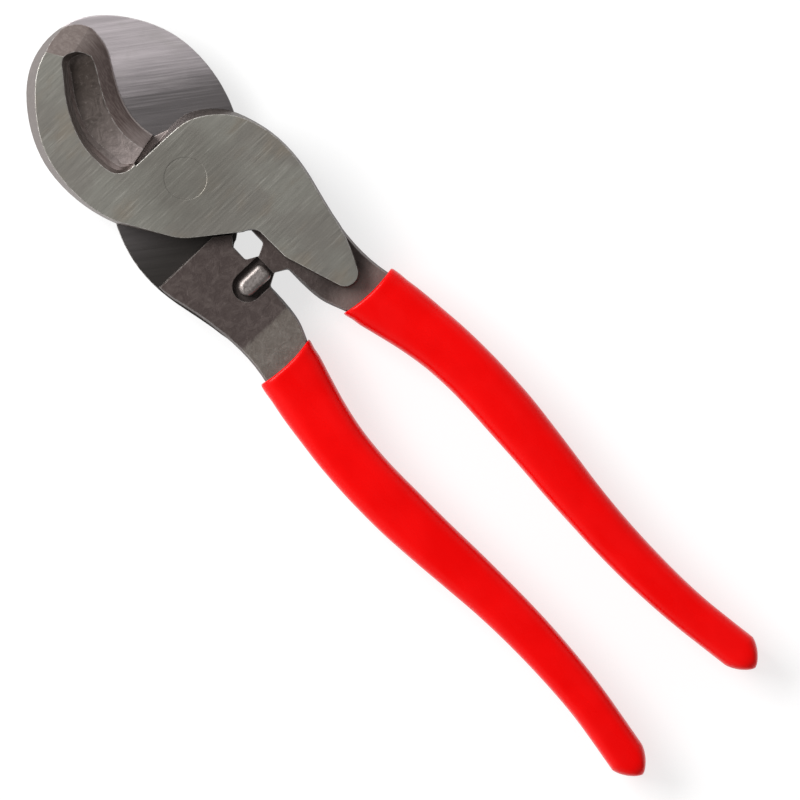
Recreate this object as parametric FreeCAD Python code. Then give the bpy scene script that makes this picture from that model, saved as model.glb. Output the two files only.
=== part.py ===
import FreeCAD, Part
import math
import os

# A one-hand cable cutter, in millimetres, jaws closed and handles on their stops.
# The rivet stands on the Z axis and z = 0 is the flat face that the tool rests on.
# +X runs from the rivet to the jaw tips, +Z is up.
# The upper half has its jaw at +Y and its handle at -Y. The lower half is the same forging
# turned over about the long axis, so it is drawn once, as the upper half.

# ---- driving dimensions ----
HEAD_THICKNESS = 19.0
TANG_THICKNESS = 10.5
CORE_THICKNESS = 9.0
GRIP_THICKNESS = 13.5
GRIP_WALL = 1.35
GRIP_ROUNDING = 3.6        # how far the grip draws in by its top and its bottom
GRIP_STEPS = 5

RIM_RADIUS = 15.1          # round part of the hub's rim, about the rivet
RIM_CLEARANCE = 0.35       # rim to the other half's shoulder
SHEAR_GAP = 0.1            # between the two ground shear faces
STOP_GAP = 0.2             # between the two stop faces
STOP_DRAFT = 0.08          # how far the stop face runs to +Y for each millimetre up

RIVET_RADIUS = 4.6
RIVET_HEAD_RADIUS = 5.4
COUNTERSINK_DEPTH = 1.6
RIVET_CLEARANCE = 0.03     # radial, in the half that turns

POCKET_FLOOR_Z = 14.2      # hollow between the jaw's back and its cutting bevel
POCKET_STEPS = [(0.0, 0.0), (0.55, 0.28), (0.85, 0.6), (1.0, 1.0)]   # share of depth, share of lean
BEVEL_RUN = 12.0           # how far the 45 degree bevel cutter reaches, up and back
TIP_CREASE = ((43.85, 1.35), (48.85, 4.4))
SLOT_WEB_THICKNESS = 1.6   # closes the relief slot over the shear face

BOSS_X = -30.7             # raised pill behind the stop face
BOSS_RADIUS = 2.4
BOSS_START_Y = -0.8
BOSS_END_Y = -9.8
BOSS_PROUD = 2.0
BOSS_CORNER = 1.4          # rounded corners of the pill's end at the stop face
BOSS_CROWN = 1.3           # rounding round the pill's top
MOAT_WIDTH = 1.5
MOAT_DEPTH = 1.5

SLOPE_START_X = -41.5      # the tang thins from here to the handle core
TANG_END_X = -54.5
FORGING_LEAN = 0.6         # how far a forged wall leans in from the parting plane

COLLAR_X = -52.1           # deepest point of the grip's mouth
COLLAR_Y = -13.5
COLLAR_RADIUS = 25.0

MID_Z = HEAD_THICKNESS / 2
SHOULDER_X = -(RIM_RADIUS + RIM_CLEARANCE)
TOOL_REACH = 30.0          # cutters stand this far clear of the part


def vector(x, y, z=0.0):
    return FreeCAD.Vector(x, y, z)


# ---- outlines: every point is x, y and how far the wall leans in by its far edge ----
def tangent_point(x, y, side):
    """Where the line through (x, y) touches the round rim; side is +1 or -1."""
    angle = math.atan2(y, x) % (2 * math.pi)
    angle += side * math.acos(RIM_RADIUS / math.hypot(x, y))
    return (RIM_RADIUS * math.cos(angle), RIM_RADIUS * math.sin(angle), 0.0)


def rim_middle(first, last):
    """Point of the round rim halfway between two of its points."""
    x = first[0] + last[0]
    y = first[1] + last[1]
    scale = RIM_RADIUS / math.hypot(x, y)
    return (x * scale, y * scale, 0.0)


CROTCH = (4.0, 20.65, 0.5)          # where the jaw's back meets the rim
RIM_FOOT = (-19.8, -1.3, 0.0)       # where the rim's straight run ends
RIM_START = tangent_point(CROTCH[0], CROTCH[1], 1)
RIM_END = tangent_point(RIM_FOOT[0], RIM_FOOT[1], -1)

HEAD_OUTLINE = [
    # back of the jaw
    ("curve", [(49.9, -2.7, 2.0), (49.7, 4.0, 2.1), (47.5, 9.8, 2.3), (41.2, 16.7, 2.4),
               (33.5, 21.4, 1.9), (27.5, 23.4, 1.6), (20.0, 24.1, 1.2), (11.0, 23.0, 0.7), CROTCH]),
    # rim that clears the other half's shoulder
    ("line", [CROTCH, RIM_START]),
    ("arc", [RIM_START, rim_middle(RIM_START, RIM_END), RIM_END]),
    ("line", [RIM_END, RIM_FOOT]),
    ("curve", [RIM_FOOT, (-20.9, -3.1, 0.2), (-22.8, -4.1, 0.4)]),
    # pointed leaf that runs out on the tang
    ("line", [(-22.8, -4.1, 0.4), (-32.0, -4.3, 0.5)]),
    ("line", [(-32.0, -4.3, 0.5), (-46.8, -9.2, 0.7)]),
    ("arc", [(-46.8, -9.2, 0.7), (-49.3, -13.3, 0.8), (-47.1, -16.4, 0.7)]),
    ("curve", [(-47.1, -16.4, 0.7), (-41.0, -19.0, 0.6), (-35.0, -20.6, 0.5)]),
    # outer edge of the web and the wall of the hub
    ("curve", [(-35.0, -20.6, 0.5), (-27.3, -22.1, 0.5), (-19.6, -23.8, 0.5), (-11.9, -24.5, 0.5),
               (-5.0, -23.8, 0.5), (0.5, -22.2, 0.7), (5.5, -19.8, 1.4), (9.6, -15.8, 1.9),
               (12.2, -10.6, 2.0), (12.3, -5.4, 1.5), (11.4, 0.8, 0.5), (11.0, 6.9, 0.1)]),
    # relief slot at the root of the cutting edge
    ("line", [(11.0, 6.9, 0.1), (11.9, 6.75, 0.0)]),
    ("line", [(11.9, 6.75, 0.0), (13.85, -1.7, 0.0)]),
    # cutting edge, then the end of the tip
    ("curve", [(13.85, -1.7, 0.0), (17.5, -1.05, 0.0), (22.5, -1.3, 0.0), (28.3, -3.2, 0.0),
               (34.2, -6.4, 0.0), (38.2, -8.4, 0.0), (41.5, -9.0, 0.0)]),
    ("curve", [(41.5, -9.0, 0.0), (46.2, -8.1, 0.4), (48.7, -5.6, 1.2), (49.9, -2.7, 2.0)]),
]

# Rim of the other half, moved out by the clearance: the shoulder follows it.
OTHER_RIM_DIRECTION = vector(RIM_FOOT[0] - RIM_END[0], RIM_END[1] - RIM_FOOT[1]).normalize()
OTHER_RIM_OUTWARD = vector(-OTHER_RIM_DIRECTION.y, OTHER_RIM_DIRECTION.x)
OTHER_RIM_START = vector(RIM_END[0], -RIM_END[1]) + OTHER_RIM_OUTWARD * RIM_CLEARANCE


def along_other_rim(x):
    """Point at x on the line that keeps the clearance from the other half's rim."""
    run = (x - OTHER_RIM_START.x) / OTHER_RIM_DIRECTION.x
    return (x, OTHER_RIM_START.y + OTHER_RIM_DIRECTION.y * run, 0.0)


STOP_Y = -STOP_GAP / 2
LUG_END_Y = 0.7            # the stop lug runs this far before its drafted face is cut
STOP_LUG = (-33.0, -26.0)  # the lug lies between these two x
SHOULDER_CORNER = along_other_rim(SHOULDER_X)
WINDOW_START = along_other_rim(-18.4)

TANG_OUTLINE = [
    ("line", [(SHOULDER_X, -23.9, 0.3), SHOULDER_CORNER]),
    ("line", [SHOULDER_CORNER, WINDOW_START]),
    # six-sided window between the halves
    ("line", [WINDOW_START, (-20.25, -2.7, 0.1)]),
    ("arc", [(-20.25, -2.7, 0.1), (-20.6, -3.0, 0.1), (-21.1, -3.1, 0.15)]),
    ("line", [(-21.1, -3.1, 0.15), (-24.75, -3.1, 0.15)]),
    ("arc", [(-24.75, -3.1, 0.15), (-25.25, -2.95, 0.1), (-25.6, -2.55, 0.1)]),
    ("line", [(-25.6, -2.55, 0.1), (-26.95, STOP_Y, 0.0)]),
    # stop lug
    ("line", [(-26.95, STOP_Y, 0.0), (-26.95, LUG_END_Y, 0.0)]),
    ("line", [(-26.95, LUG_END_Y, 0.0), (-32.8, LUG_END_Y, 0.0)]),
    ("line", [(-32.8, LUG_END_Y, 0.0), (-32.8, STOP_Y, 0.0)]),
    # inner edge
    ("line", [(-32.8, STOP_Y, 0.0), (-34.2, -2.5, 0.2)]),
    ("arc", [(-34.2, -2.5, 0.2), (-34.6, -2.95, 0.3), (-35.2, -3.1, 0.4)]),
    ("curve", [(-35.2, -3.1, 0.4), (-42.0, -3.3, FORGING_LEAN), (-46.6, -4.05, FORGING_LEAN),
               (-51.7, -6.1, FORGING_LEAN), (TANG_END_X, -7.05, FORGING_LEAN)]),
    ("line", [(TANG_END_X, -7.05, FORGING_LEAN), (TANG_END_X, -21.55, FORGING_LEAN)]),
    # outer edge
    ("curve", [(TANG_END_X, -21.55, FORGING_LEAN), (-49.5, -20.4, FORGING_LEAN),
               (-42.0, -19.9, FORGING_LEAN), (-33.5, -20.6, FORGING_LEAN),
               (-24.5, -22.3, 0.5), (-18.5, -23.7, 0.4), (SHOULDER_X, -23.9, 0.3)]),
]

POCKET_OUTLINE = [
    # mouth of the hollow, round its tip end and back to the heel
    ("curve", [(39.6, -3.9, 0.3), (41.6, -3.2, 0.9), (43.2, -1.2, 1.3), (43.5, 1.5, 1.6),
               (41.15, 3.9, 1.9), (36.0, 7.8, 2.2), (29.6, 11.3, 2.6), (23.5, 13.1, 3.2),
               (17.5, 13.2, 4.0), (13.3, 12.1, 3.6), (11.7, 10.0, 2.6), (11.5, 6.9, 0.4)]),
    ("line", [(11.5, 6.9, 0.4), (13.6, -2.6, 0.0)]),
    ("line", [(13.6, -2.6, 0.0), (13.6, -20.0, 0.0)]),
    ("line", [(13.6, -20.0, 0.0), (38.0, -20.0, 0.0)]),
    ("line", [(38.0, -20.0, 0.0), (39.6, -3.9, 0.3)]),
]

# Cutting edge, run on past both ends, and the plan of the ground that the bevel may cut,
# which leaves out the hub.
BEVEL_EDGE = [(10.0, -2.9), (13.85, -1.7), (17.5, -1.05), (22.5, -1.3), (28.3, -3.2), (34.2, -6.4),
              (38.2, -8.4), (41.5, -9.0), (52.0, -8.0)]
BEVEL_GROUND = [(11.6, 8.2), (13.85, -1.7), (13.85, -20.0), (60.0, -20.0), (60.0, 12.0), (11.6, 12.0)]

# Plan of the web at the foot of the relief slot, from inside the hub to inside the jaw.
SLOT_WEB = [(10.0, 7.5), (10.0, -4.0), (12.0, -6.0), (13.5, -1.4), (14.6, -1.0), (12.6, 7.5)]

# Handle with its grip, seen from above: inner edge, round tip, outer edge, end inside the tang.
# The third value is 1, so a share of it is a distance in millimetres.
HANDLE_OUTLINE = [
    ("curve", [(-45.0, -2.9, 1.0), (-52.0, -4.9, 1.0), (-62.0, -7.9, 1.0), (-76.0, -11.1, 1.0),
               (-90.0, -12.0, 1.0), (-110.0, -11.45, 1.0)]),
    ("curve", [(-110.0, -11.45, 1.0), (-130.0, -10.65, 1.0), (-147.6, -10.6, 1.0),
               (-164.0, -11.7, 1.0), (-177.0, -13.5, 1.0)]),
    ("curve", [(-177.0, -13.5, 1.0), (-184.6, -14.9, 1.0), (-188.7, -17.2, 1.0),
               (-189.7, -20.6, 1.0), (-187.6, -23.6, 1.0), (-183.6, -24.5, 1.0),
               (-176.0, -23.6, 1.0)]),
    ("curve", [(-176.0, -23.6, 1.0), (-165.0, -22.2, 1.0), (-150.0, -21.7, 1.0),
               (-136.0, -22.05, 1.0), (-119.7, -23.7, 1.0)]),
    ("curve", [(-119.7, -23.7, 1.0), (-104.0, -25.4, 1.0), (-88.2, -25.95, 1.0),
               (-75.0, -25.4, 1.0), (-61.8, -24.0, 1.0), (-51.0, -21.8, 1.0), (-45.0, -20.8, 1.0)]),
    ("line", [(-45.0, -20.8, 1.0), (-45.0, -2.9, 1.0)]),
]


# ---- shape helpers ----
def inset(points, distances):
    """Closed loop of (x, y) points, anticlockwise, each moved inwards along its own normal."""
    moved = []
    for index, (x, y) in enumerate(points):
        before = points[index - 1]
        after = points[(index + 1) % len(points)]
        into = vector(x - before[0], y - before[1]).normalize()
        out_of = vector(after[0] - x, after[1] - y).normalize()
        along = (into + out_of).normalize()
        moved.append((x - along.y * distances[index], y + along.x * distances[index]))
    return moved


def chord_lengths(points):
    """Running length along a row of (x, y) points: the parameters that a curve is drawn with."""
    lengths = [0.0]
    for (x, y), (next_x, next_y) in zip(points, points[1:]):
        lengths.append(lengths[-1] + math.hypot(next_x - x, next_y - y))
    return lengths


def edge(kind, points, z, parameters=None):
    places = [vector(x, y, z) for x, y in points]
    if kind == "line":
        return Part.LineSegment(places[0], places[1]).toShape()
    if kind == "arc":
        return Part.Arc(places[0], places[1], places[2]).toShape()
    curve = Part.BSplineCurve()
    curve.interpolate(Points=places, Parameters=parameters or chord_lengths(points))
    return curve.toShape()


def leaning_block(outline, near_z, far_z, near_share=0.0, far_share=1.0):
    """Solid over an outline, whose walls lean in by a share of each point's third value."""
    loop = [point for kind, points in outline for point in points[:-1]]
    plan = [(x, y) for x, y, lean in loop]
    near = inset(plan, [lean * near_share for x, y, lean in loop])
    far = inset(plan, [lean * far_share for x, y, lean in loop])
    near_edges = []
    far_edges = []
    start = 0
    for kind, points in outline:
        picks = [(start + step) % len(loop) for step in range(len(points))]
        parameters = chord_lengths([plan[pick] for pick in picks])
        near_edges.append(edge(kind, [near[pick] for pick in picks], near_z, parameters))
        far_edges.append(edge(kind, [far[pick] for pick in picks], far_z, parameters))
        start += len(points) - 1
    faces = [Part.makeRuledSurface(low, high) for low, high in zip(near_edges, far_edges)]
    faces.append(Part.Face(Part.Wire(near_edges)))
    faces.append(Part.Face(Part.Wire(far_edges)))
    shell = Part.makeShell(faces)
    shell.sewShape()
    solid = Part.makeSolid(shell)
    if solid.Volume < 0:
        solid.reverse()
    return solid


def box(x_from, x_to, y_from, y_to, z_from, z_to):
    return Part.makeBox(x_to - x_from, y_to - y_from, z_to - z_from, vector(x_from, y_from, z_from))


# ---- cutters for the jaw ----
def prism(points, z_from, z_to):
    corners = [vector(x, y, z_from) for x, y in points]
    outline = Part.makePolygon(corners + corners[:1])
    return Part.Face(outline).extrude(vector(0.0, 0.0, z_to - z_from))


def bevel_cutter():
    """Everything above the 45 degree bevel that rises from the cutting edge."""
    low_z = MID_Z + SHEAR_GAP / 2
    raised = [(x, y + BEVEL_RUN) for x, y in BEVEL_EDGE]
    slope = Part.makeRuledSurface(edge("curve", BEVEL_EDGE, low_z),
                                  edge("curve", raised, low_z + BEVEL_RUN))
    return slope.extrude(vector(0.0, -TOOL_REACH)).common(prism(BEVEL_GROUND, low_z, low_z + BEVEL_RUN))


def tip_cutter():
    """Everything above the 45 degree facet that falls from the crease to the jaw's tip."""
    start = vector(TIP_CREASE[0][0], TIP_CREASE[0][1], HEAD_THICKNESS)
    along = vector(TIP_CREASE[1][0], TIP_CREASE[1][1], HEAD_THICKNESS) - start
    along.normalize()
    downhill = vector(along.y, -along.x)
    inner = start - along * 6.0
    outer = start + along * 20.0
    drop = downhill * 20.0 - vector(0.0, 0.0, 20.0)
    lift = vector(0.0, 0.0, 20.0)
    profile = Part.makePolygon([inner, inner + drop, inner + drop + lift + downhill, inner])
    return Part.Face(profile).extrude(outer - inner)


def pocket_cutter():
    """Hollow with a steep mouth and a dished foot."""
    depth = HEAD_THICKNESS - POCKET_FLOOR_Z
    slabs = []
    for (near_depth, near_share), (far_depth, far_share) in zip(POCKET_STEPS, POCKET_STEPS[1:]):
        slabs.append(leaning_block(POCKET_OUTLINE, HEAD_THICKNESS - depth * near_depth,
                                   HEAD_THICKNESS - depth * far_depth, near_share, far_share))
    return slabs[0].fuse(slabs[1:])


# ---- the forging ----
def head_block():
    low_z = MID_Z + SHEAR_GAP / 2
    block = leaning_block(HEAD_OUTLINE, low_z, HEAD_THICKNESS)
    web = prism(SLOT_WEB, low_z, low_z + SLOT_WEB_THICKNESS).cut(bevel_cutter())
    return block.cut([pocket_cutter(), bevel_cutter(), tip_cutter()]).fuse(web)


def slope_cutter(side):
    """Thins the tang to the core's thickness; side is +1 above the parting plane, -1 below."""
    tang_z = MID_Z + side * TANG_THICKNESS / 2
    core_z = MID_Z + side * CORE_THICKNESS / 2
    clear_z = tang_z + side * TOOL_REACH
    corners = [(SLOPE_START_X, tang_z), (TANG_END_X + 1.0, core_z), (TANG_END_X - 2.0, core_z),
               (TANG_END_X - 2.0, clear_z), (SLOPE_START_X, clear_z)]
    places = [vector(x, -TOOL_REACH, z) for x, z in corners]
    return Part.Face(Part.makePolygon(places + places[:1])).extrude(vector(0.0, 2 * TOOL_REACH))


def pill(radius, start_y, z_from, z_to):
    """Upright slot shape behind the stop face, round at its far end."""
    end_y = BOSS_END_Y + BOSS_RADIUS
    bar = box(BOSS_X - radius, BOSS_X + radius, end_y, start_y, z_from, z_to)
    end = Part.makeCylinder(radius, z_to - z_from, vector(BOSS_X, end_y, z_from))
    return bar.fuse(end).removeSplitter()


def boss():
    """Pill with a rounded top that stands out of the moat, under the tang."""
    crown_z = MID_Z - TANG_THICKNESS / 2 - BOSS_PROUD
    blank = pill(BOSS_RADIUS, BOSS_START_Y, crown_z, MID_Z)
    corners = [line for line in blank.Edges if line.BoundBox.YMin > BOSS_START_Y - 0.01
               and line.BoundBox.ZLength > 1.0]
    blank = blank.makeFillet(BOSS_CORNER, corners)
    crown = [line for line in blank.Edges if line.BoundBox.ZMax < crown_z + 0.01]
    return blank.makeFillet(BOSS_CROWN, crown)


def stop_cutter():
    """Everything past the drafted stop face, so the two lugs meet on parallel slanting faces."""
    low_y = STOP_Y - STOP_DRAFT * MID_Z
    high_y = STOP_Y + STOP_DRAFT * MID_Z
    corners = [(low_y, 0.0), (high_y, HEAD_THICKNESS), (TOOL_REACH, HEAD_THICKNESS), (TOOL_REACH, 0.0)]
    places = [vector(STOP_LUG[0], y, z) for y, z in corners]
    wedge = Part.Face(Part.makePolygon(places + places[:1]))
    return wedge.extrude(vector(STOP_LUG[1] - STOP_LUG[0], 0.0))


def tang_block():
    slabs = [leaning_block(TANG_OUTLINE, MID_Z, MID_Z + side * TANG_THICKNESS / 2) for side in (1, -1)]
    tang = slabs[0].fuse(slabs[1]).cut([slope_cutter(1), slope_cutter(-1)])
    tang_z = MID_Z - TANG_THICKNESS / 2
    moat = pill(BOSS_RADIUS + MOAT_WIDTH, LUG_END_Y, tang_z - 1.0, tang_z + MOAT_DEPTH)
    return tang.cut(moat).fuse(boss()).cut(stop_cutter())


def handle_core():
    """Bar inside the grip, drafted both ways from the parting plane."""
    slabs = [leaning_block(HANDLE_OUTLINE, MID_Z, MID_Z + side * CORE_THICKNESS / 2,
                           GRIP_WALL, GRIP_WALL + FORGING_LEAN) for side in (1, -1)]
    return slabs[0].fuse(slabs[1])


def rivet_hole(clearance):
    radius = RIVET_RADIUS + clearance
    head_radius = RIVET_HEAD_RADIUS + clearance
    mouth = Part.makeCone(radius, head_radius, COUNTERSINK_DEPTH,
                          vector(0.0, 0.0, HEAD_THICKNESS - COUNTERSINK_DEPTH))
    return Part.makeCylinder(radius, HEAD_THICKNESS).fuse(mouth)


def forged_half(clearance):
    half = head_block().fuse([tang_block(), handle_core()])
    return half.cut(rivet_hole(clearance)).removeSplitter()


# ---- the other pieces ----
def pivot_rivet():
    """Shank with a flush head at each end."""
    shank = Part.makeCylinder(RIVET_RADIUS, HEAD_THICKNESS)
    head = Part.makeCone(RIVET_HEAD_RADIUS, RIVET_RADIUS, COUNTERSINK_DEPTH)
    top = Part.makeCone(RIVET_RADIUS, RIVET_HEAD_RADIUS, COUNTERSINK_DEPTH,
                        vector(0.0, 0.0, HEAD_THICKNESS - COUNTERSINK_DEPTH))
    return shank.fuse([head, top]).removeSplitter()


def grip(half):
    """Dipped sleeve, built of slabs that draw in to a rounded top and bottom."""
    turns = [math.pi / 2 * step / GRIP_STEPS for step in range(GRIP_STEPS + 1)]
    levels = [(GRIP_THICKNESS / 2 * math.sin(turn), GRIP_ROUNDING * (1 - math.cos(turn))) for turn in turns]
    slabs = []
    for (near_height, near_inset), (far_height, far_inset) in zip(levels, levels[1:]):
        for side in (1, -1):
            slabs.append(leaning_block(HANDLE_OUTLINE, MID_Z + side * near_height,
                                       MID_Z + side * far_height, near_inset, far_inset))
    mouth = Part.makeCylinder(COLLAR_RADIUS, 2 * TOOL_REACH,
                              vector(COLLAR_X + COLLAR_RADIUS, COLLAR_Y, MID_Z - TOOL_REACH))
    return slabs[0].fuse(slabs[1:]).cut([mouth, half])


def turned_over(shape):
    """The same piece turned half a turn about the long axis."""
    return shape.rotated(vector(0.0, 0.0, MID_Z), vector(1.0, 0.0, 0.0), 180)


def write_parts():
    upper = forged_half(RIVET_CLEARANCE)
    lower = forged_half(0.0)
    shapes = {
        "upper_half": upper,
        "lower_half": turned_over(lower),
        "pivot_rivet": pivot_rivet(),
        "upper_grip": grip(upper),
        "lower_grip": turned_over(grip(lower)),
    }
    os.makedirs("parts", exist_ok=True)
    for name, shape in shapes.items():
        shape.exportStep("parts/" + name + ".step")
        print(name, shape.isValid(), len(shape.Solids), round(shape.Volume, 1))


write_parts()
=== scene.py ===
"""A one-hand cable cutter on a pale studio floor: ground and scaled steel, glossy dipped grips."""
import math

import bpy
from mathutils import Matrix, Vector


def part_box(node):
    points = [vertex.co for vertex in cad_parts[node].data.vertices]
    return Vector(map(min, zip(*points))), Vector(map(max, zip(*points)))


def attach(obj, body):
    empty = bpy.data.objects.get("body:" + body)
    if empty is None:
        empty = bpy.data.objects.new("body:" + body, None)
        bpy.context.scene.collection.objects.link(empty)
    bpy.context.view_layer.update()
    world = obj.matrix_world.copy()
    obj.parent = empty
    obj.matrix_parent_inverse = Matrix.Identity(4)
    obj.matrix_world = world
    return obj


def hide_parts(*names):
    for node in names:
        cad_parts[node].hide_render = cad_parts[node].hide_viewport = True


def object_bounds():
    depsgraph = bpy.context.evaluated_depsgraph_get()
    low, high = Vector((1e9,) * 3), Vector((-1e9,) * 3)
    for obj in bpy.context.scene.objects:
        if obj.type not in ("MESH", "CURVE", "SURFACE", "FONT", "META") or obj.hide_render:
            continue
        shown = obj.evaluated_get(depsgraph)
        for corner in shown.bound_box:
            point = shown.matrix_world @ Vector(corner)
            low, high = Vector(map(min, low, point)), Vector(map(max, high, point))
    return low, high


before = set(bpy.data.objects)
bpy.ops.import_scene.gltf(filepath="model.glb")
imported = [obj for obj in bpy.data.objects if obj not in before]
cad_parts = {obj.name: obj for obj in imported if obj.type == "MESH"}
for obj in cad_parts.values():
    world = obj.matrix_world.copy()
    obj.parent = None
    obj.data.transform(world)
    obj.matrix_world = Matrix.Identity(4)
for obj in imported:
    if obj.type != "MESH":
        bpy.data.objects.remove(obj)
cad_low, cad_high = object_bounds()

# ---- sizes, in metres; the head plates' come from the frame ----
MM = 0.001
HEAD_LOW, HEAD_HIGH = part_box("pivot_rivet")
MID_Z = (HEAD_LOW.z + HEAD_HIGH.z) / 2
HEAD_HALF = (HEAD_HIGH.z - HEAD_LOW.z) / 2
TANG_TOP = 5.25 * MM        # tang's surface, from the mid-plane
EDGE_ROUND = 0.35 * MM      # radius the edges are worn to
HOLLOW_REACH = 1.2 * MM     # how far the painted corner shade reaches
SHEAR_MARK_TURN = math.radians(-36.0)

# ---- places on a half, in mm from the pivot; a tone fades in or out between the two values of a pair ----
# the jaw's painted shade sets in toward the tip between these
JAW_SHADE_X = (20.0, 38.0)
HEEL_X = (13.0, 22.0)
TIP_X = (39.0, 44.5)
HUB_WALL_X = (12.5, 13.5)
JAW_WALL_X = (13.0, 16.0)
JAW_BACK = (4.5, 9.0)       # y + 0.2 x
HEAD_X = (-15.6, -15.2)
LEAF_Z = (5.4, 6.6)         # over the tang's surface
SHEAR_X = (-14.0, 12.0)
SHEAR_BRIGHT = (17.0, 32.0) # 0.80 x + 0.42 y
GLINT_X = (5.0, 16.0)
BAND_X = (41.5, 42.6)       # paler band on the tang, behind the pivot
GRIP_END_X = (45.0, 51.0)   # tang between the leaf and the grip, behind the pivot: paler, with painted light against the leaf's shadow
RIVET_RIM = (5.0, 5.5)
RIVET_CLEAR = (6.0, 7.0)    # no rubbed edges inside this radius
HANDLED = (10.5, 21.0)      # distance from the pivot's middle
KEEN_Z = (0.30, 0.60)       # cutting edge
PILL_X = -30.7              # middle of the pill behind the stop face
PILL_Y = -5.3
PILL_STRAIGHT = 3.0         # half the pill's straight length
PILL_RIM = (2.3, 2.7)
MOAT_RIM = (3.9, 4.3)
FACE_MARGIN = (0.25, 0.1)   # under the ground face
SHEAR_Z = (0.3, 0.6)        # either side of the mid-plane
BAND_Z = (-4.0, -3.2)
GRIP_END_Z = (3.0, 4.0)
PILL_TOP_Z = (-5.9, -5.2)
MOAT_LOW_Z = (-5.2, -4.6)
MOAT_HIGH_Z = (-3.9, -3.6)

# ---- slopes: shares of the normal that point up, or across where the name says so ----
FLAT = (0.90, 0.97)
BEVEL_FROM = (0.55, 0.66)
BEVEL_TO = (0.78, 0.9)
BEVEL_ACROSS = (0.2, 0.5)
HOLLOW_FLOOR = (0.45, 0.62)
FACET = (0.5, 0.66)
BACK_TO = (0.6, 0.75)
BACK_ACROSS = (0.1, 0.45)
STEEP = (0.40, 0.62)

# ---- depths of the surface relief, in metres ----
LONG_MARK_DEPTH = 0.012 * MM
SHORT_MARK_DEPTH = 0.010 * MM
STREAK_DEPTH = 0.010 * MM
SCRATCH_DEPTH = 0.012 * MM
GRAIN_DEPTH = 0.030 * MM
FLOW_DEPTH = 0.10 * MM
DRAG_DEPTH = 0.016 * MM
PIT_DEPTH = 0.12 * MM
TANG_GRAIN_DEPTH = 0.035 * MM
DIP_WAVE_DEPTH = 0.25 * MM
PEEL_DEPTH = 0.004 * MM

# ---- tones ----
FACE_DARK = (0.345, 0.325, 0.292)
FACE_LIGHT = (0.395, 0.384, 0.342)
FACE_STAIN = (0.390, 0.335, 0.270)
FACE_HANDLED = (0.275, 0.262, 0.230)
FACE_SCORE = (0.60, 0.585, 0.535)
FACE_SCRATCH = (0.24, 0.22, 0.195)
RIM_GRIME = (0.24, 0.22, 0.20)
SHEAR_HUB = (0.085, 0.077, 0.072)
SHEAR_MIDDLE = (0.250, 0.230, 0.232)
SHEAR_POLISHED = (0.89, 0.81, 0.835)
SHEAR_DULL = (0.72, 0.67, 0.66)
SHEAR_GLINT = (0.90, 0.84, 0.85)
SHEAR_SCRATCH = (0.18, 0.16, 0.16)
# scale in the jaw's hollow: painted light at the heel, painted shade toward the tip
SCALE_HEEL_LIT = (0.200, 0.168, 0.155)
SCALE_TIP_SHADED = (0.085, 0.068, 0.060)
SCALE_DEEP = (0.060, 0.050, 0.044)
SCALE_SPECK = (0.36, 0.315, 0.295)
# painted light on the hollow's floor at the heel
SCALE_HEEL_FLOOR_LIT = (0.45, 0.385, 0.37)
BEVEL_DARK = (0.160, 0.122, 0.112)
BEVEL_LIGHT = (0.275, 0.222, 0.205)
# bevel: painted light at the heel, painted shade toward the tip
BEVEL_HEEL_LIT = (0.40, 0.345, 0.33)
BEVEL_TIP_SHADED = (0.120, 0.096, 0.088)
# painted highlight along the cutting edge
BEVEL_KEEN_HIGHLIGHT = (0.66, 0.59, 0.57)
# tip facet and the jaw's back: tone smoothed by sanding, with painted light
SANDED_LIT_DARK = (0.238, 0.196, 0.180)
SANDED_LIT_LIGHT = (0.325, 0.276, 0.256)
# darker tone that the jaw's painted-light back is taken toward
BACK_DARKER = (0.10, 0.095, 0.092)
WALL = (0.34, 0.295, 0.275)
HUB_WALL_DARK = (0.085, 0.070, 0.062)
HUB_WALL_LIGHT = (0.140, 0.118, 0.106)
TANG_DARK = (0.066, 0.048, 0.044)
TANG_LIGHT = (0.094, 0.072, 0.066)
TANG_SPECK = (0.20, 0.170, 0.150)
BAND_DARK = (0.185, 0.158, 0.138)
BAND_LIGHT = (0.235, 0.208, 0.185)
BAND_SPECK = (0.33, 0.30, 0.27)
# tang ahead of the grip: paler, and lightened further with painted light against the leaf's shadow
GRIP_END = (0.205, 0.150, 0.136)
# painted shade in the pill's moat
MOAT_SHADE = (0.030, 0.024, 0.022)
# pill top: worn bright steel, lightened as a painted highlight
PILL_DARK = (0.28, 0.245, 0.23)
PILL_LIGHT = (0.34, 0.305, 0.29)
# painted shade in corners
CORNER_SHADE = (0.040, 0.032, 0.028)
# worn bright steel along the edges, with a painted edge highlight
BARE_STEEL_HIGHLIGHT = (0.86, 0.82, 0.79)
VINYL_DEEP = (0.78, 0.0, 0.0)
VINYL_BRIGHT = (0.84, 0.001, 0.001)
FLOOR_GREY = (0.32, 0.32, 0.32, 1.0)
WHITE = (1.0, 1.0, 1.0, 1.0)

# Halves are one forging: the upper half's frame, and the lower half's turned over about X.
SIDE = {"upper_half": 1.0, "lower_half": -1.0}


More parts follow.
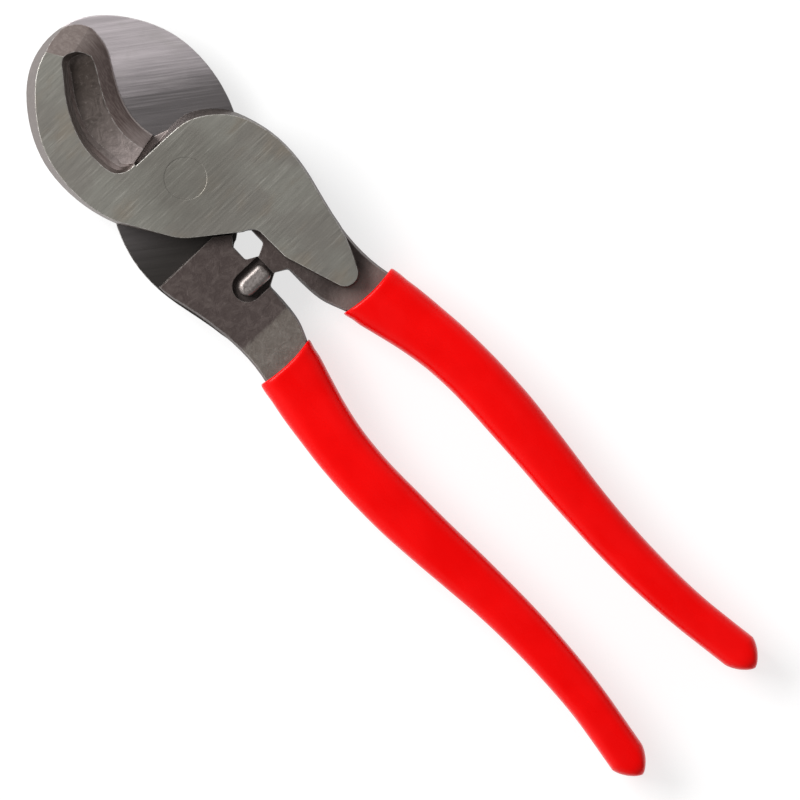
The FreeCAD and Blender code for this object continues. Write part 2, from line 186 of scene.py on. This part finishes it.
# ---- small node helpers ----
class Graph:
    """Short calls for building a material's nodes."""

    def __init__(self, name):
        self.material = bpy.data.materials.new(name)
        self.material.use_nodes = True
        self.nodes = self.material.node_tree.nodes
        self.links = self.material.node_tree.links
        self.shader = self.nodes["Principled BSDF"]

    def node(self, kind, settings=None, **inputs):
        made = self.nodes.new(kind)
        for name, value in (settings or {}).items():
            setattr(made, name, value)
        for name, value in inputs.items():
            self.feed(made.inputs[name.replace("_", " ")], value)
        return made

    def feed(self, socket, value):
        if isinstance(value, bpy.types.NodeSocket):
            self.links.new(value, socket)
        else:
            socket.default_value = value

    def math(self, operation, first, second=0.0, third=0.0):
        made = self.nodes.new("ShaderNodeMath")
        made.operation = operation
        for socket, value in zip(made.inputs, (first, second, third)):
            self.feed(socket, value)
        return made.outputs[0]

    def times(self, first, second):
        return self.math("MULTIPLY", first, second)

    def plus(self, first, second):
        return self.math("ADD", first, second)

    def minus(self, first, second):
        return self.math("SUBTRACT", first, second)

    def opposite(self, share):
        """1 where share is 0, and the other way round."""
        return self.math("SUBTRACT", 1.0, share)

    def step(self, value, low, high):
        """0 below low, 1 above high, smooth between."""
        made = self.node("ShaderNodeMapRange", {"interpolation_type": "SMOOTHSTEP"}, Value=value)
        made.inputs["From Min"].default_value = low
        made.inputs["From Max"].default_value = high
        return made.outputs["Result"]

    def noise(self, vector, scale, detail=3.0, roughness=0.55, distortion=0.0):
        made = self.node("ShaderNodeTexNoise", Vector=vector, Scale=scale, Detail=detail,
                         Roughness=roughness, Distortion=distortion)
        return made.outputs["Fac"]

    def mix(self, share, first, second):
        made = self.nodes.new("ShaderNodeMix")
        made.data_type = "RGBA"
        self.feed(made.inputs["Factor"], share)
        self.feed(made.inputs["A"], colour(first))
        self.feed(made.inputs["B"], colour(second))
        return made.outputs["Result"]

    def blend(self, share, first, second):
        """Number mix: first where share is 0, second where it is 1."""
        made = self.nodes.new("ShaderNodeMix")
        made.data_type = "FLOAT"
        self.feed(made.inputs["Factor"], share)
        self.feed(made.inputs["A"], first)
        self.feed(made.inputs["B"], second)
        return made.outputs["Result"]

    def stretched(self, vector, x, y, z, turn=0.0):
        """vector turned about Z, then scaled along each axis."""
        turned = self.node("ShaderNodeVectorRotate", {"rotation_type": "Z_AXIS"}, Vector=vector, Angle=turn)
        made = self.node("ShaderNodeVectorMath", {"operation": "MULTIPLY"})
        self.feed(made.inputs[0], turned.outputs["Vector"])
        self.feed(made.inputs[1], (x, y, z))
        return made.outputs["Vector"]


def colour(value):
    if isinstance(value, bpy.types.NodeSocket) or len(value) == 4:
        return value
    return (*value, 1.0)


def set_slots(piece, *materials):
    piece.data.materials.clear()
    for material in materials:
        piece.data.materials.append(material)


# ---- steel ----
def half_frame(graph, side):
    """(position in mm, x, y, z over the mid-plane, normal) of a half, turned to be the upper one."""
    place = graph.node("ShaderNodeTexCoord")
    shifted = graph.node("ShaderNodeVectorMath", {"operation": "SUBTRACT"})
    graph.feed(shifted.inputs[0], place.outputs["Object"])
    graph.feed(shifted.inputs[1], (0.0, 0.0, MID_Z))
    scaled = graph.node("ShaderNodeVectorMath", {"operation": "MULTIPLY"})
    graph.feed(scaled.inputs[0], shifted.outputs["Vector"])
    graph.feed(scaled.inputs[1], (1 / MM, side / MM, side / MM))
    parts = graph.node("ShaderNodeSeparateXYZ", Vector=scaled.outputs["Vector"])
    turned = graph.node("ShaderNodeVectorMath", {"operation": "MULTIPLY"})
    graph.feed(turned.inputs[0], place.outputs["Normal"])
    graph.feed(turned.inputs[1], (1.0, side, side))
    normal = graph.node("ShaderNodeSeparateXYZ", Vector=turned.outputs["Vector"])
    return scaled.outputs["Vector"], parts.outputs, normal.outputs


def axis_distance(graph, x, y):
    """Distance from the rivet's axis."""
    return graph.math("SQRT", graph.plus(graph.times(x, x), graph.times(y, y)))


def ground_face(graph, place):
    """(colour, roughness, height) of the surface-ground face: marks run across the tool, along Y."""
    long_marks = graph.noise(graph.stretched(place, 1.0, 0.045, 1.0), 1.9, 5.0, 0.72)
    short_marks = graph.noise(graph.stretched(place, 3.2, 0.30, 1.0), 1.0, 5.0, 0.7)
    cloud = graph.noise(place, 0.075, 3.0, 0.5, 0.4)
    stain = graph.noise(graph.stretched(place, 1.0, 0.45, 1.0), 0.16, 4.0, 0.6)
    face = graph.mix(graph.step(cloud, 0.38, 0.64), FACE_DARK, FACE_LIGHT)
    face = graph.mix(graph.times(graph.step(stain, 0.48, 0.70), 0.6), face, FACE_STAIN)
    patch = graph.step(graph.noise(place, 0.11, 2.0, 0.5), 0.38, 0.62)
    reach = graph.node("ShaderNodeVectorMath", {"operation": "LENGTH"}, Vector=place).outputs["Value"]
    handled = graph.opposite(graph.step(reach, *HANDLED))
    face = graph.mix(graph.times(handled, 0.6), face, FACE_HANDLED)
    strong = graph.times(graph.step(long_marks, 0.54, 0.74), graph.blend(patch, 0.22, 0.55))
    face = graph.mix(strong, face, FACE_SCORE)
    face = graph.mix(graph.times(graph.step(short_marks, 0.44, 0.24), 0.42), face, FACE_SCRATCH)
    rough = graph.plus(0.30, graph.times(long_marks, 0.20))
    height = graph.plus(graph.times(long_marks, LONG_MARK_DEPTH), graph.times(short_marks, SHORT_MARK_DEPTH))
    return face, rough, height


def shear_face(graph, place, x, y):
    """(colour, roughness, height) of the face that slides on the other half, brighter toward the tip."""
    slant = graph.stretched(place, 1.2, 0.03, 1.0, SHEAR_MARK_TURN)
    streak = graph.noise(slant, 1.1, 5.0, 0.68)
    scratch = graph.noise(graph.stretched(place, 4.0, 0.05, 1.0, SHEAR_MARK_TURN), 1.4, 3.0, 0.6)
    cloud = graph.noise(place, 0.11, 3.0, 0.5, 0.5)
    reach = graph.plus(graph.times(x, 0.80), graph.times(y, 0.42))
    reach = graph.plus(reach, graph.times(graph.minus(streak, 0.5), 9.0))
    bright = graph.step(reach, *SHEAR_BRIGHT)
    shear = graph.mix(graph.step(x, *SHEAR_X), SHEAR_HUB, SHEAR_MIDDLE)
    shear = graph.mix(bright, shear, SHEAR_POLISHED)
    dulled = graph.times(graph.step(cloud, 0.5, 0.7), graph.times(bright, 0.5))
    shear = graph.mix(dulled, shear, SHEAR_DULL)
    glints = graph.times(graph.step(scratch, 0.62, 0.80), graph.step(x, *GLINT_X))
    shear = graph.mix(graph.times(glints, 0.6), shear, SHEAR_GLINT)
    shear = graph.mix(graph.times(graph.step(scratch, 0.34, 0.20), 0.4), shear, SHEAR_SCRATCH)
    rough = graph.plus(0.26, graph.times(streak, 0.2))
    height = graph.plus(graph.times(streak, STREAK_DEPTH), graph.times(scratch, SCRATCH_DEPTH))
    return shear, rough, height


def jaw_steel(graph, place, x, y, z, normal):
    """(colour, roughness, height) inside the jaw and round its back: scale, ground bevel, a back smoothed by
    sanding, with painted light and shade.
    """
    grain = graph.noise(place, 0.9, 6.0, 0.66, 0.5)
    flow = graph.noise(place, 0.22, 4.0, 0.6, 1.6)
    drag = graph.noise(graph.stretched(place, 0.12, 1.6, 1.6), 1.2, 4.0, 0.6)
    toward_tip = graph.plus(x, graph.times(graph.minus(flow, 0.5), 8.0))
    dark = graph.step(toward_tip, *JAW_SHADE_X)
    # hollow: scale with painted light at the heel and painted shade toward the tip
    scale = graph.mix(dark, SCALE_HEEL_LIT, SCALE_TIP_SHADED)
    scale = graph.mix(graph.times(graph.step(flow, 0.52, 0.66), 0.35), scale, SCALE_DEEP)
    scale = graph.mix(graph.times(graph.step(grain, 0.56, 0.72), 0.30), scale, SCALE_SPECK)
    heel = graph.opposite(graph.step(toward_tip, *HEEL_X))
    heel = graph.times(heel, graph.step(normal["Z"], *HOLLOW_FLOOR))
    scale = graph.mix(graph.times(heel, 0.8), scale, SCALE_HEEL_FLOOR_LIT)
    # bevel: drag marks along the edge, with painted light at the heel and painted shade toward the tip
    bevel = graph.mix(graph.step(drag, 0.38, 0.66), BEVEL_DARK, BEVEL_LIGHT)
    bevel = graph.mix(graph.times(heel, 0.6), bevel, BEVEL_HEEL_LIT)
    bevel = graph.mix(graph.times(dark, 0.5), bevel, BEVEL_TIP_SHADED)
    not_flat = graph.opposite(graph.step(normal["Z"], *BEVEL_TO))
    sloped = graph.times(graph.step(normal["Z"], *BEVEL_FROM), not_flat)
    on_bevel = graph.times(sloped, graph.step(graph.times(normal["Y"], -1.0), *BEVEL_ACROSS))
    # painted highlight along the cutting edge, stronger at the heel
    keen = graph.opposite(graph.step(z, *KEEN_Z))
    bevel = graph.mix(graph.times(keen, graph.blend(dark, 0.8, 0.3)), bevel, BEVEL_KEEN_HIGHLIGHT)
    jaw = graph.mix(on_bevel, scale, bevel)
    # tip facet and the jaw's back, smoothed by sanding and painted bright as faces that catch the light
    sanded_lit = graph.mix(graph.step(grain, 0.40, 0.66), SANDED_LIT_DARK, SANDED_LIT_LIGHT)
    end = graph.plus(x, graph.times(graph.minus(drag, 0.5), 4.0))
    tip = graph.times(graph.step(end, *TIP_X), graph.step(normal["Z"], *FACET))
    jaw = graph.mix(graph.times(tip, 0.85), jaw, sanded_lit)
    outward = graph.plus(normal["Y"], graph.times(normal["X"], 0.6))
    off_face = graph.opposite(graph.step(normal["Z"], *BACK_TO))
    outside = graph.times(graph.step(outward, *BACK_ACROSS), off_face)
    behind_jaw = graph.plus(y, graph.times(x, 0.2))
    outside = graph.times(outside, graph.step(behind_jaw, *JAW_BACK))
    # the jaw's back: the painted-light tone, taken a third of the way toward a darker one
    jaw = graph.mix(outside, jaw, graph.mix(0.35, sanded_lit, BACK_DARKER))
    steep = graph.opposite(graph.step(normal["Z"], *STEEP))
    walled = graph.times(steep, graph.step(x, *JAW_WALL_X))
    walled = graph.times(walled, graph.opposite(outside))
    jaw = graph.mix(walled, jaw, WALL)
    hub_wall = graph.times(steep, graph.opposite(graph.step(x, *HUB_WALL_X)))
    hub_wall = graph.times(hub_wall, graph.opposite(outside))
    hub_tone = graph.mix(graph.step(grain, 0.40, 0.66), HUB_WALL_DARK, HUB_WALL_LIGHT)
    jaw = graph.mix(hub_wall, jaw, hub_tone)
    rough = graph.plus(0.36, graph.times(grain, 0.22))
    height = graph.plus(graph.times(grain, GRAIN_DEPTH), graph.times(flow, FLOW_DEPTH))
    dragged = graph.math("MAXIMUM", on_bevel, outside)
    height = graph.blend(dragged, height, graph.times(drag, DRAG_DEPTH))
    return jaw, rough, height


def tang_steel(graph, place, x, y, z):
    """(colour, metallic, roughness, height) of the dark forging scale, with the paler band by the grip,
    painted light ahead of the grip, a painted highlight on the pill and painted shade in its moat.
    """
    pits = graph.noise(place, 0.36, 5.0, 0.64, 0.7)
    grain = graph.noise(place, 1.4, 4.0, 0.6)
    scale = graph.mix(graph.step(pits, 0.40, 0.66), TANG_DARK, TANG_LIGHT)
    scale = graph.mix(graph.times(graph.step(grain, 0.60, 0.74), 0.25), scale, TANG_SPECK)
    banded = graph.mix(graph.step(pits, 0.36, 0.66), BAND_DARK, BAND_LIGHT)
    banded = graph.mix(graph.times(graph.step(grain, 0.60, 0.74), 0.4), banded, BAND_SPECK)
    behind = graph.times(x, -1.0)
    beyond = graph.step(graph.plus(behind, pits), *BAND_X)
    band = graph.times(beyond, graph.opposite(graph.step(z, *BAND_Z)))
    tang = graph.mix(band, scale, banded)
    # paler tang ahead of the grip, lightened further with painted light against the leaf's shadow
    ahead_of_grip = graph.times(graph.step(behind, *GRIP_END_X), graph.step(z, *GRIP_END_Z))
    tang = graph.mix(ahead_of_grip, tang, GRIP_END)
    # the pill's top is worn bright with a painted highlight, and its moat is painted dark as shade
    across = graph.math("ABSOLUTE", graph.minus(x, PILL_X))
    along = graph.minus(graph.math("ABSOLUTE", graph.minus(y, PILL_Y)), PILL_STRAIGHT)
    to_pill = graph.math("MAXIMUM", across, along)
    proud = graph.opposite(graph.step(z, *PILL_TOP_Z))
    rubbed_highlight = graph.times(graph.opposite(graph.step(to_pill, *PILL_RIM)), proud)
    sunk = graph.times(graph.step(z, *MOAT_LOW_Z), graph.opposite(graph.step(z, *MOAT_HIGH_Z)))
    in_moat = graph.times(graph.opposite(graph.step(to_pill, *MOAT_RIM)), sunk)
    tang = graph.mix(in_moat, tang, MOAT_SHADE)
    pill_top = graph.mix(graph.step(grain, 0.35, 0.65), PILL_DARK, PILL_LIGHT)
    tang = graph.mix(rubbed_highlight, tang, pill_top)
    metallic = graph.math("MAXIMUM", graph.blend(band, 0.55, 0.75), rubbed_highlight)
    rough = graph.plus(graph.blend(rubbed_highlight, 0.42, 0.34), graph.times(grain, 0.24))
    height = graph.plus(graph.times(pits, PIT_DEPTH), graph.times(grain, TANG_GRAIN_DEPTH))
    return tang, metallic, rough, height


def edge_wear_and_shading(graph):
    """(rounded normal, share of worn bright steel with painted edge highlight, share of painted corner
    shade) along the edges and in the corners.
    """
    rounded = graph.node("ShaderNodeBevel", {"samples": 4}, Radius=EDGE_ROUND).outputs["Normal"]
    flat = graph.node("ShaderNodeNewGeometry").outputs["Normal"]
    likeness = graph.node("ShaderNodeVectorMath", {"operation": "DOT_PRODUCT"})
    graph.feed(likeness.inputs[0], rounded)
    graph.feed(likeness.inputs[1], flat)
    turned = graph.opposite(likeness.outputs["Value"])
    hollow = graph.node("ShaderNodeAmbientOcclusion", {"samples": 4, "only_local": True},
                        Distance=HOLLOW_REACH).outputs["AO"]
    open_edge = graph.step(hollow, 0.72, 0.90)
    # worn bright steel on open edges, with a painted edge highlight
    rubbed_highlight = graph.times(graph.step(turned, 0.015, 0.12), open_edge)
    # painted shade in corners, from the occlusion
    corner_shade = graph.opposite(graph.step(hollow, 0.35, 0.85))
    return rounded, rubbed_highlight, corner_shade


def steel(name, side):
    """Drop-forged steel of one half, worn bright along its edges with a painted edge highlight, and with
    painted shade in its corners.
    """
    graph = Graph(name)
    place, (x, y, z), normal = half_frame(graph, side)
    flat_up = graph.step(normal["Z"], *FLAT)
    low, high = (HEAD_HALF / MM - margin for margin in FACE_MARGIN)
    on_face = graph.times(flat_up, graph.step(z, low, high))
    flat_down = graph.step(graph.times(normal["Z"], -1.0), *FLAT)
    near_mid = graph.opposite(graph.step(graph.math("ABSOLUTE", z), *SHEAR_Z))
    on_shear = graph.times(flat_down, near_mid)
    in_head = graph.step(x, *HEAD_X)
    above_tang = graph.step(z, *LEAF_Z)
    machined = graph.math("MAXIMUM", in_head, above_tang)

    face, face_rough, face_height = ground_face(graph, place)
    shear, shear_rough, shear_height = shear_face(graph, place, x, y)
    jaw, jaw_rough, jaw_height = jaw_steel(graph, place, x, y, z, normal)
    tang, tang_metallic, tang_rough, tang_height = tang_steel(graph, place, x, y, z)

    base = graph.mix(machined, tang, jaw)
    base = graph.mix(on_shear, base, shear)
    base = graph.mix(on_face, base, face)
    rough = graph.blend(machined, tang_rough, jaw_rough)
    rough = graph.blend(on_face, graph.blend(on_shear, rough, shear_rough), face_rough)
    height = graph.blend(machined, tang_height, jaw_height)
    height = graph.blend(on_face, graph.blend(on_shear, height, shear_height), face_height)
    metallic = graph.blend(machined, tang_metallic, 1.0)
    metallic = graph.math("MAXIMUM", metallic, graph.math("MAXIMUM", on_shear, on_face))
    rounded, rubbed_highlight, corner_shade = edge_wear_and_shading(graph)
    nicks = graph.noise(place, 0.8, 4.0, 0.6)
    rubbed_highlight = graph.times(rubbed_highlight, graph.blend(machined, 0.25, 0.9))
    rubbed_highlight = graph.times(rubbed_highlight, graph.step(nicks, 0.34, 0.60))
    from_axis = axis_distance(graph, x, y)
    rubbed_highlight = graph.times(rubbed_highlight, graph.step(from_axis, *RIVET_CLEAR))
    # painted shade in the corners
    base = graph.mix(graph.times(corner_shade, 0.45), base, CORNER_SHADE)
    # worn bright steel along the edges, with a painted edge highlight
    base = graph.mix(rubbed_highlight, base, BARE_STEEL_HIGHLIGHT)
    metallic = graph.minus(metallic, graph.times(rubbed_highlight, 0.5))
    graph.feed(graph.shader.inputs["Base Color"], base)
    graph.feed(graph.shader.inputs["Metallic"], metallic)
    graph.feed(graph.shader.inputs["Roughness"], rough)
    bump = graph.node("ShaderNodeBump", Height=height, Strength=1.0, Distance=1.0, Normal=rounded)
    graph.feed(graph.shader.inputs["Normal"], bump.outputs["Normal"])
    return graph.material


def rivet_steel():
    """Rivet ends, ground flush with the faces and under the same marks."""
    graph = Graph("rivet_ground")
    place, (x, y, _), _ = half_frame(graph, 1.0)
    face, rough, height = ground_face(graph, place)
    radius = axis_distance(graph, x, y)
    rim = graph.step(radius, *RIVET_RIM)
    rimmed = graph.mix(graph.times(rim, 0.25), face, RIM_GRIME)
    graph.feed(graph.shader.inputs["Base Color"], rimmed)
    graph.shader.inputs["Metallic"].default_value = 1.0
    graph.feed(graph.shader.inputs["Roughness"], rough)
    bump = graph.node("ShaderNodeBump", Height=height, Strength=1.0, Distance=1.0)
    graph.feed(graph.shader.inputs["Normal"], bump.outputs["Normal"])
    return graph.material


for node, side in SIDE.items():
    set_slots(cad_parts[node], steel(node + "_steel", side))
set_slots(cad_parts["pivot_rivet"], rivet_steel())


# ---- grips ----
# Stations along the upper half's handle, in mm: x, inner edge y, outer edge y, half thickness.
HANDLE = [(-50.0, -4.6, -21.7, 6.7), (-56.0, -6.2, -23.0, 6.75), (-62.0, -7.9, -24.0, 6.75),
          (-69.0, -9.75, -24.8, 6.75), (-76.0, -11.1, -25.5, 6.75), (-83.0, -11.8, -25.85, 6.75),
          (-90.0, -12.0, -25.95, 6.72), (-100.0, -11.75, -25.65, 6.65), (-110.0, -11.45, -24.75, 6.6),
          (-120.0, -10.95, -23.65, 6.5), (-130.0, -10.65, -22.55, 6.45), (-140.0, -10.5, -21.9, 6.4),
          (-150.0, -10.7, -21.7, 6.35), (-160.0, -11.35, -21.9, 6.3), (-168.0, -12.2, -22.45, 6.3),
          (-175.0, -13.2, -23.35, 6.3), (-183.5, -14.5, -24.6, 6.3)]
TIP_LENGTH = 6.2
TIP_STEPS = 26
TIP_POINT = 1.45            # seen from above: 2 is an ellipse, less is more pointed
TIP_FULLNESS = 4.0          # seen from the side
RING_POINTS = 72
HANDLE_RINGS = 84
FLARE_SPAN = 6.0
TIP_LEAN = 0.1
SQUARENESS = 3.8
COLLAR = {"upper_grip": -53.3, "lower_grip": -52.0}
COLLAR_DIP = 1.0            # how far the mouth's sides reach past its middle
# Rings of the rolled lip, from inside the sleeve outwards: forward of the mouth, drawn in, in mm.
LIP = [(-1.8, 1.0), (-0.6, 1.0), (-0.2, 0.86), (-0.03, 0.62), (0.0, 0.40), (-0.06, 0.22), (-0.22, 0.08),
       (-0.5, 0.0), (-0.9, -0.04), (-1.6, -0.04), (-2.6, 0.0)]
INSIDE = 1.0                # a ring drawn in this far lies inside the sleeve
WALL_WIDE = 1.7             # vinyl's thickness at the mouth, sideways
WALL_HIGH = 1.2             # how far the mouth's inner ring lies under the tang's surface
BAR_SQUARENESS = 6.0
LIP_FLATTENING = 1.6
LIP_BLEND = 1.5


def spline_value(stations, x, column):
    """Value of a column at x, on a smooth curve through the stations (x falls along them)."""
    last = len(stations) - 2
    index = next((i for i in range(last + 1) if x >= stations[i + 1][0]), last)
    first, second = stations[index], stations[index + 1]
    before = stations[max(index - 1, 0)]
    after = stations[min(index + 2, len(stations) - 1)]
    span = second[0] - first[0]
    t = (x - first[0]) / span
    slope_first = (second[column] - before[column]) / (second[0] - before[0]) * span
    slope_second = (after[column] - first[column]) / (after[0] - first[0]) * span
    return ((2 * t**3 - 3 * t**2 + 1) * first[column] + (t**3 - 2 * t**2 + t) * slope_first
            + (3 * t**2 - 2 * t**3) * second[column] + (t**3 - t**2) * slope_second)


def ring(x, centre_y, half_width, half_height, squareness=SQUARENESS):
    """Closed ring of points round the handle: a rounded rectangle, fuller as squareness grows."""
    points = []
    for number in range(RING_POINTS):
        turn = 2 * math.pi * number / RING_POINTS
        across = math.copysign(abs(math.cos(turn)) ** (2 / squareness), math.cos(turn)) * half_width
        up = math.copysign(abs(math.sin(turn)) ** (2 / squareness), math.sin(turn)) * half_height
        points.append(Vector((x, centre_y + across, up)))
    return points


def handle_ring(x):
    inner = spline_value(HANDLE, x, 1)
    outer = spline_value(HANDLE, x, 2)
    height = spline_value(HANDLE, x, 3)
    return ring(x, (inner + outer) / 2, (inner - outer) / 2, height)


def grip_rings(collar):
    rings = []
    for forward, drawn in LIP:
        x = collar + forward
        inner = spline_value(HANDLE, x, 1)
        outer = spline_value(HANDLE, x, 2)
        height = spline_value(HANDLE, x, 3)
        middle = (inner + outer) / 2
        reach = (inner - outer) / 2
        if drawn >= INSIDE:
            # inside the sleeve the vinyl follows the squarer bar of the tang
            points = ring(x, middle, reach - WALL_WIDE, TANG_TOP / MM - WALL_HIGH, BAR_SQUARENESS)
        else:
            points = ring(x, middle, reach - drawn, height - drawn * LIP_FLATTENING)
        for point in points:
            point.x += COLLAR_DIP * ((point.y - middle) / reach) ** 2
        rings.append(points)
    x = collar + LIP[-1][0] - LIP_BLEND
    stop = HANDLE[-1][0]
    for number in range(HANDLE_RINGS + 1):
        rings.append(handle_ring(x + (stop - x) * number / HANDLE_RINGS))
    # blunt pointed tip, which leans a little with the flare of the handle's end
    ahead = spline_value(HANDLE, stop + FLARE_SPAN, 1)
    flare = (ahead - spline_value(HANDLE, stop, 1)) / FLARE_SPAN
    inner, outer, height = HANDLE[-1][1:]
    for number in range(1, TIP_STEPS + 1):
        share = math.sin(math.pi / 2 * number / TIP_STEPS)
        width = max(1 - share ** TIP_POINT, 0.0) ** (1 / TIP_POINT)
        tallness = max(1 - share ** TIP_FULLNESS, 0.0) ** (1 / TIP_FULLNESS)
        past = TIP_LENGTH * share
        middle = (inner + outer) / 2 - flare * past * TIP_LEAN
        rings.append(ring(stop - past, middle, (inner - outer) / 2 * width, height * tallness))
    return rings[:-1], rings[-1]


def build_grip(name, side, collar):
    rings, tip = grip_rings(collar)
    tip_point = sum(tip, Vector()) / len(tip)
    vertices = []
    for points in rings:
        vertices.extend(points)
    vertices.append(tip_point)
    faces = []
    for number in range(len(rings) - 1):
        start = number * RING_POINTS
        for step in range(RING_POINTS):
            after = (step + 1) % RING_POINTS
            near, far = start, start + RING_POINTS
            faces.append((near + step, near + after, far + after, far + step))
    start = (len(rings) - 1) * RING_POINTS
    for step in range(RING_POINTS):
        faces.append((start + step, start + (step + 1) % RING_POINTS, len(vertices) - 1))
    faces.append(tuple(reversed(range(RING_POINTS))))
    placed = [(point.x * MM, point.y * MM * side, MID_Z + point.z * MM * side) for point in vertices]
    mesh = bpy.data.meshes.new(name)
    mesh.from_pydata(placed, [], faces)
    mesh.validate()
    mesh.update()
    for polygon in mesh.polygons:
        polygon.use_smooth = True
    piece = bpy.data.objects.new(name, mesh)
    bpy.context.scene.collection.objects.link(piece)
    return piece


def vinyl():
    """Glossy dipped vinyl: even colour, slow waves where the dip ran, fine orange peel."""
    graph = Graph("dipped_vinyl")
    place = graph.node("ShaderNodeTexCoord").outputs["Object"]
    waves = graph.noise(graph.stretched(place, 1.0, 2.2, 2.2), 70.0, 2.0, 0.4)
    peel = graph.noise(place, 900.0, 2.0, 0.5)
    tone = graph.mix(graph.step(graph.noise(place, 55.0, 3.0, 0.5), 0.35, 0.65),
                     VINYL_DEEP, VINYL_BRIGHT)
    graph.feed(graph.shader.inputs["Base Color"], tone)
    graph.feed(graph.shader.inputs["Roughness"], graph.blend(graph.step(waves, 0.3, 0.7), 0.24, 0.34))
    graph.shader.inputs["Specular IOR Level"].default_value = 0.16
    relief = graph.plus(graph.times(waves, DIP_WAVE_DEPTH), graph.times(peel, PEEL_DEPTH))
    bump = graph.node("ShaderNodeBump", Height=relief, Strength=1.0, Distance=1.0)
    graph.feed(graph.shader.inputs["Normal"], bump.outputs["Normal"])
    return graph.material


VINYL = vinyl()
for node, body, side in (("upper_grip", "upper", 1.0), ("lower_grip", "lower", -1.0)):
    sleeve = build_grip(node + "_sleeve", side, COLLAR[node])
    set_slots(sleeve, VINYL)
    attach(sleeve, body)
    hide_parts(node)


# ---- floor, light and camera ----
FLOOR_SIZE = 20.0
FLOOR_DROP = 0.02 * MM      # keeps the floor just under the tool
FLOOR_GLOW = 0.72
VIEW_CENTRE = Vector((-78.2 * MM, -0.9 * MM, MID_Z))
VIEW_WIDTH = 203.4 * MM
LENS = 600.0
SENSOR = 36.0
VIEW_RIGHT = Vector((-0.6876, -0.7261, 0.0)).normalized()
VIEW_UP = Vector((0.7261, -0.6876, 0.0)).normalized()
LIGHT_SIDE = Vector((0.95, 0.30, 0.0))
KEY_DISTANCE = 1.3
KEY_SIZE = (1.1, 0.7)
KEY_POWER = 31.0
WORLD_DIM = 0.25            # away from the jaw's end
WORLD_BRIGHT = 1.15         # toward it
WORLD_OVERHEAD = 0.26       # share that is left straight overhead


def make_floor():
    """Pale sheet that glows a little, as on a light table."""
    mesh = bpy.data.meshes.new("floor")
    reach = FLOOR_SIZE / 2
    corners = [(-reach, -reach), (reach, -reach), (reach, reach), (-reach, reach)]
    mesh.from_pydata([(x, y, cad_low.z - FLOOR_DROP) for x, y in corners], [], [(0, 1, 2, 3)])
    floor = bpy.data.objects.new("floor", mesh)
    bpy.context.scene.collection.objects.link(floor)
    graph = Graph("pale_floor")
    graph.shader.inputs["Base Color"].default_value = FLOOR_GREY
    graph.shader.inputs["Emission Color"].default_value = WHITE
    graph.shader.inputs["Emission Strength"].default_value = FLOOR_GLOW
    graph.shader.inputs["Roughness"].default_value = 0.9
    graph.shader.inputs["Specular IOR Level"].default_value = 0.1
    set_slots(floor, graph.material)


def area_light(name, place, size, power):
    lamp = bpy.data.lights.new(name, "AREA")
    lamp.shape = "RECTANGLE"
    lamp.size, lamp.size_y = size
    lamp.energy = power
    light = bpy.data.objects.new(name, lamp)
    light.location = place
    light.rotation_euler = (VIEW_CENTRE - Vector(place)).to_track_quat("-Z", "Y").to_euler()
    bpy.context.scene.collection.objects.link(light)


def make_world():
    """Soft studio all round, brightest toward the jaw's end of the tool."""
    world = bpy.data.worlds.new("studio")
    bpy.context.scene.world = world
    world.use_nodes = True
    nodes, links = world.node_tree.nodes, world.node_tree.links
    background = nodes["Background"]
    place = nodes.new("ShaderNodeTexCoord")
    toward = nodes.new("ShaderNodeVectorMath")
    toward.operation = "DOT_PRODUCT"
    toward.inputs[1].default_value = LIGHT_SIDE
    links.new(place.outputs["Generated"], toward.inputs[0])
    ramp = nodes.new("ShaderNodeMapRange")
    ramp.inputs["From Min"].default_value = -0.9
    ramp.inputs["From Max"].default_value = 0.9
    ramp.inputs["To Min"].default_value = WORLD_DIM
    ramp.inputs["To Max"].default_value = WORLD_BRIGHT
    links.new(toward.outputs["Value"], ramp.inputs["Value"])
    parts = nodes.new("ShaderNodeSeparateXYZ")
    links.new(place.outputs["Generated"], parts.inputs[0])
    overhead = nodes.new("ShaderNodeMapRange")
    overhead.interpolation_type = "SMOOTHSTEP"
    overhead.inputs["From Min"].default_value = 0.55
    overhead.inputs["From Max"].default_value = 0.97
    overhead.inputs["To Min"].default_value = 1.0
    overhead.inputs["To Max"].default_value = WORLD_OVERHEAD
    links.new(parts.outputs["Z"], overhead.inputs["Value"])
    strength = nodes.new("ShaderNodeMath")
    strength.operation = "MULTIPLY"
    links.new(ramp.outputs["Result"], strength.inputs[0])
    links.new(overhead.outputs["Result"], strength.inputs[1])
    background.inputs["Color"].default_value = WHITE
    links.new(strength.outputs[0], background.inputs["Strength"])


def make_camera():
    lens = bpy.data.cameras.new("camera")
    lens.lens = LENS
    lens.sensor_width = SENSOR
    lens.clip_start = 0.01
    camera = bpy.data.objects.new("camera", lens)
    distance = VIEW_WIDTH * LENS / SENSOR
    basis = Matrix((VIEW_RIGHT, VIEW_UP, VIEW_RIGHT.cross(VIEW_UP))).transposed()
    camera.matrix_world = Matrix.Translation(VIEW_CENTRE + Vector((0.0, 0.0, distance))) @ basis.to_4x4()
    bpy.context.scene.collection.objects.link(camera)
    bpy.context.scene.camera = camera


make_floor()
make_world()
key_place = VIEW_CENTRE + LIGHT_SIDE * KEY_DISTANCE + Vector((0.0, 0.0, KEY_DISTANCE))
area_light("key", key_place, KEY_SIZE, KEY_POWER)
make_camera()
bpy.context.scene.view_settings.view_transform = "Standard"
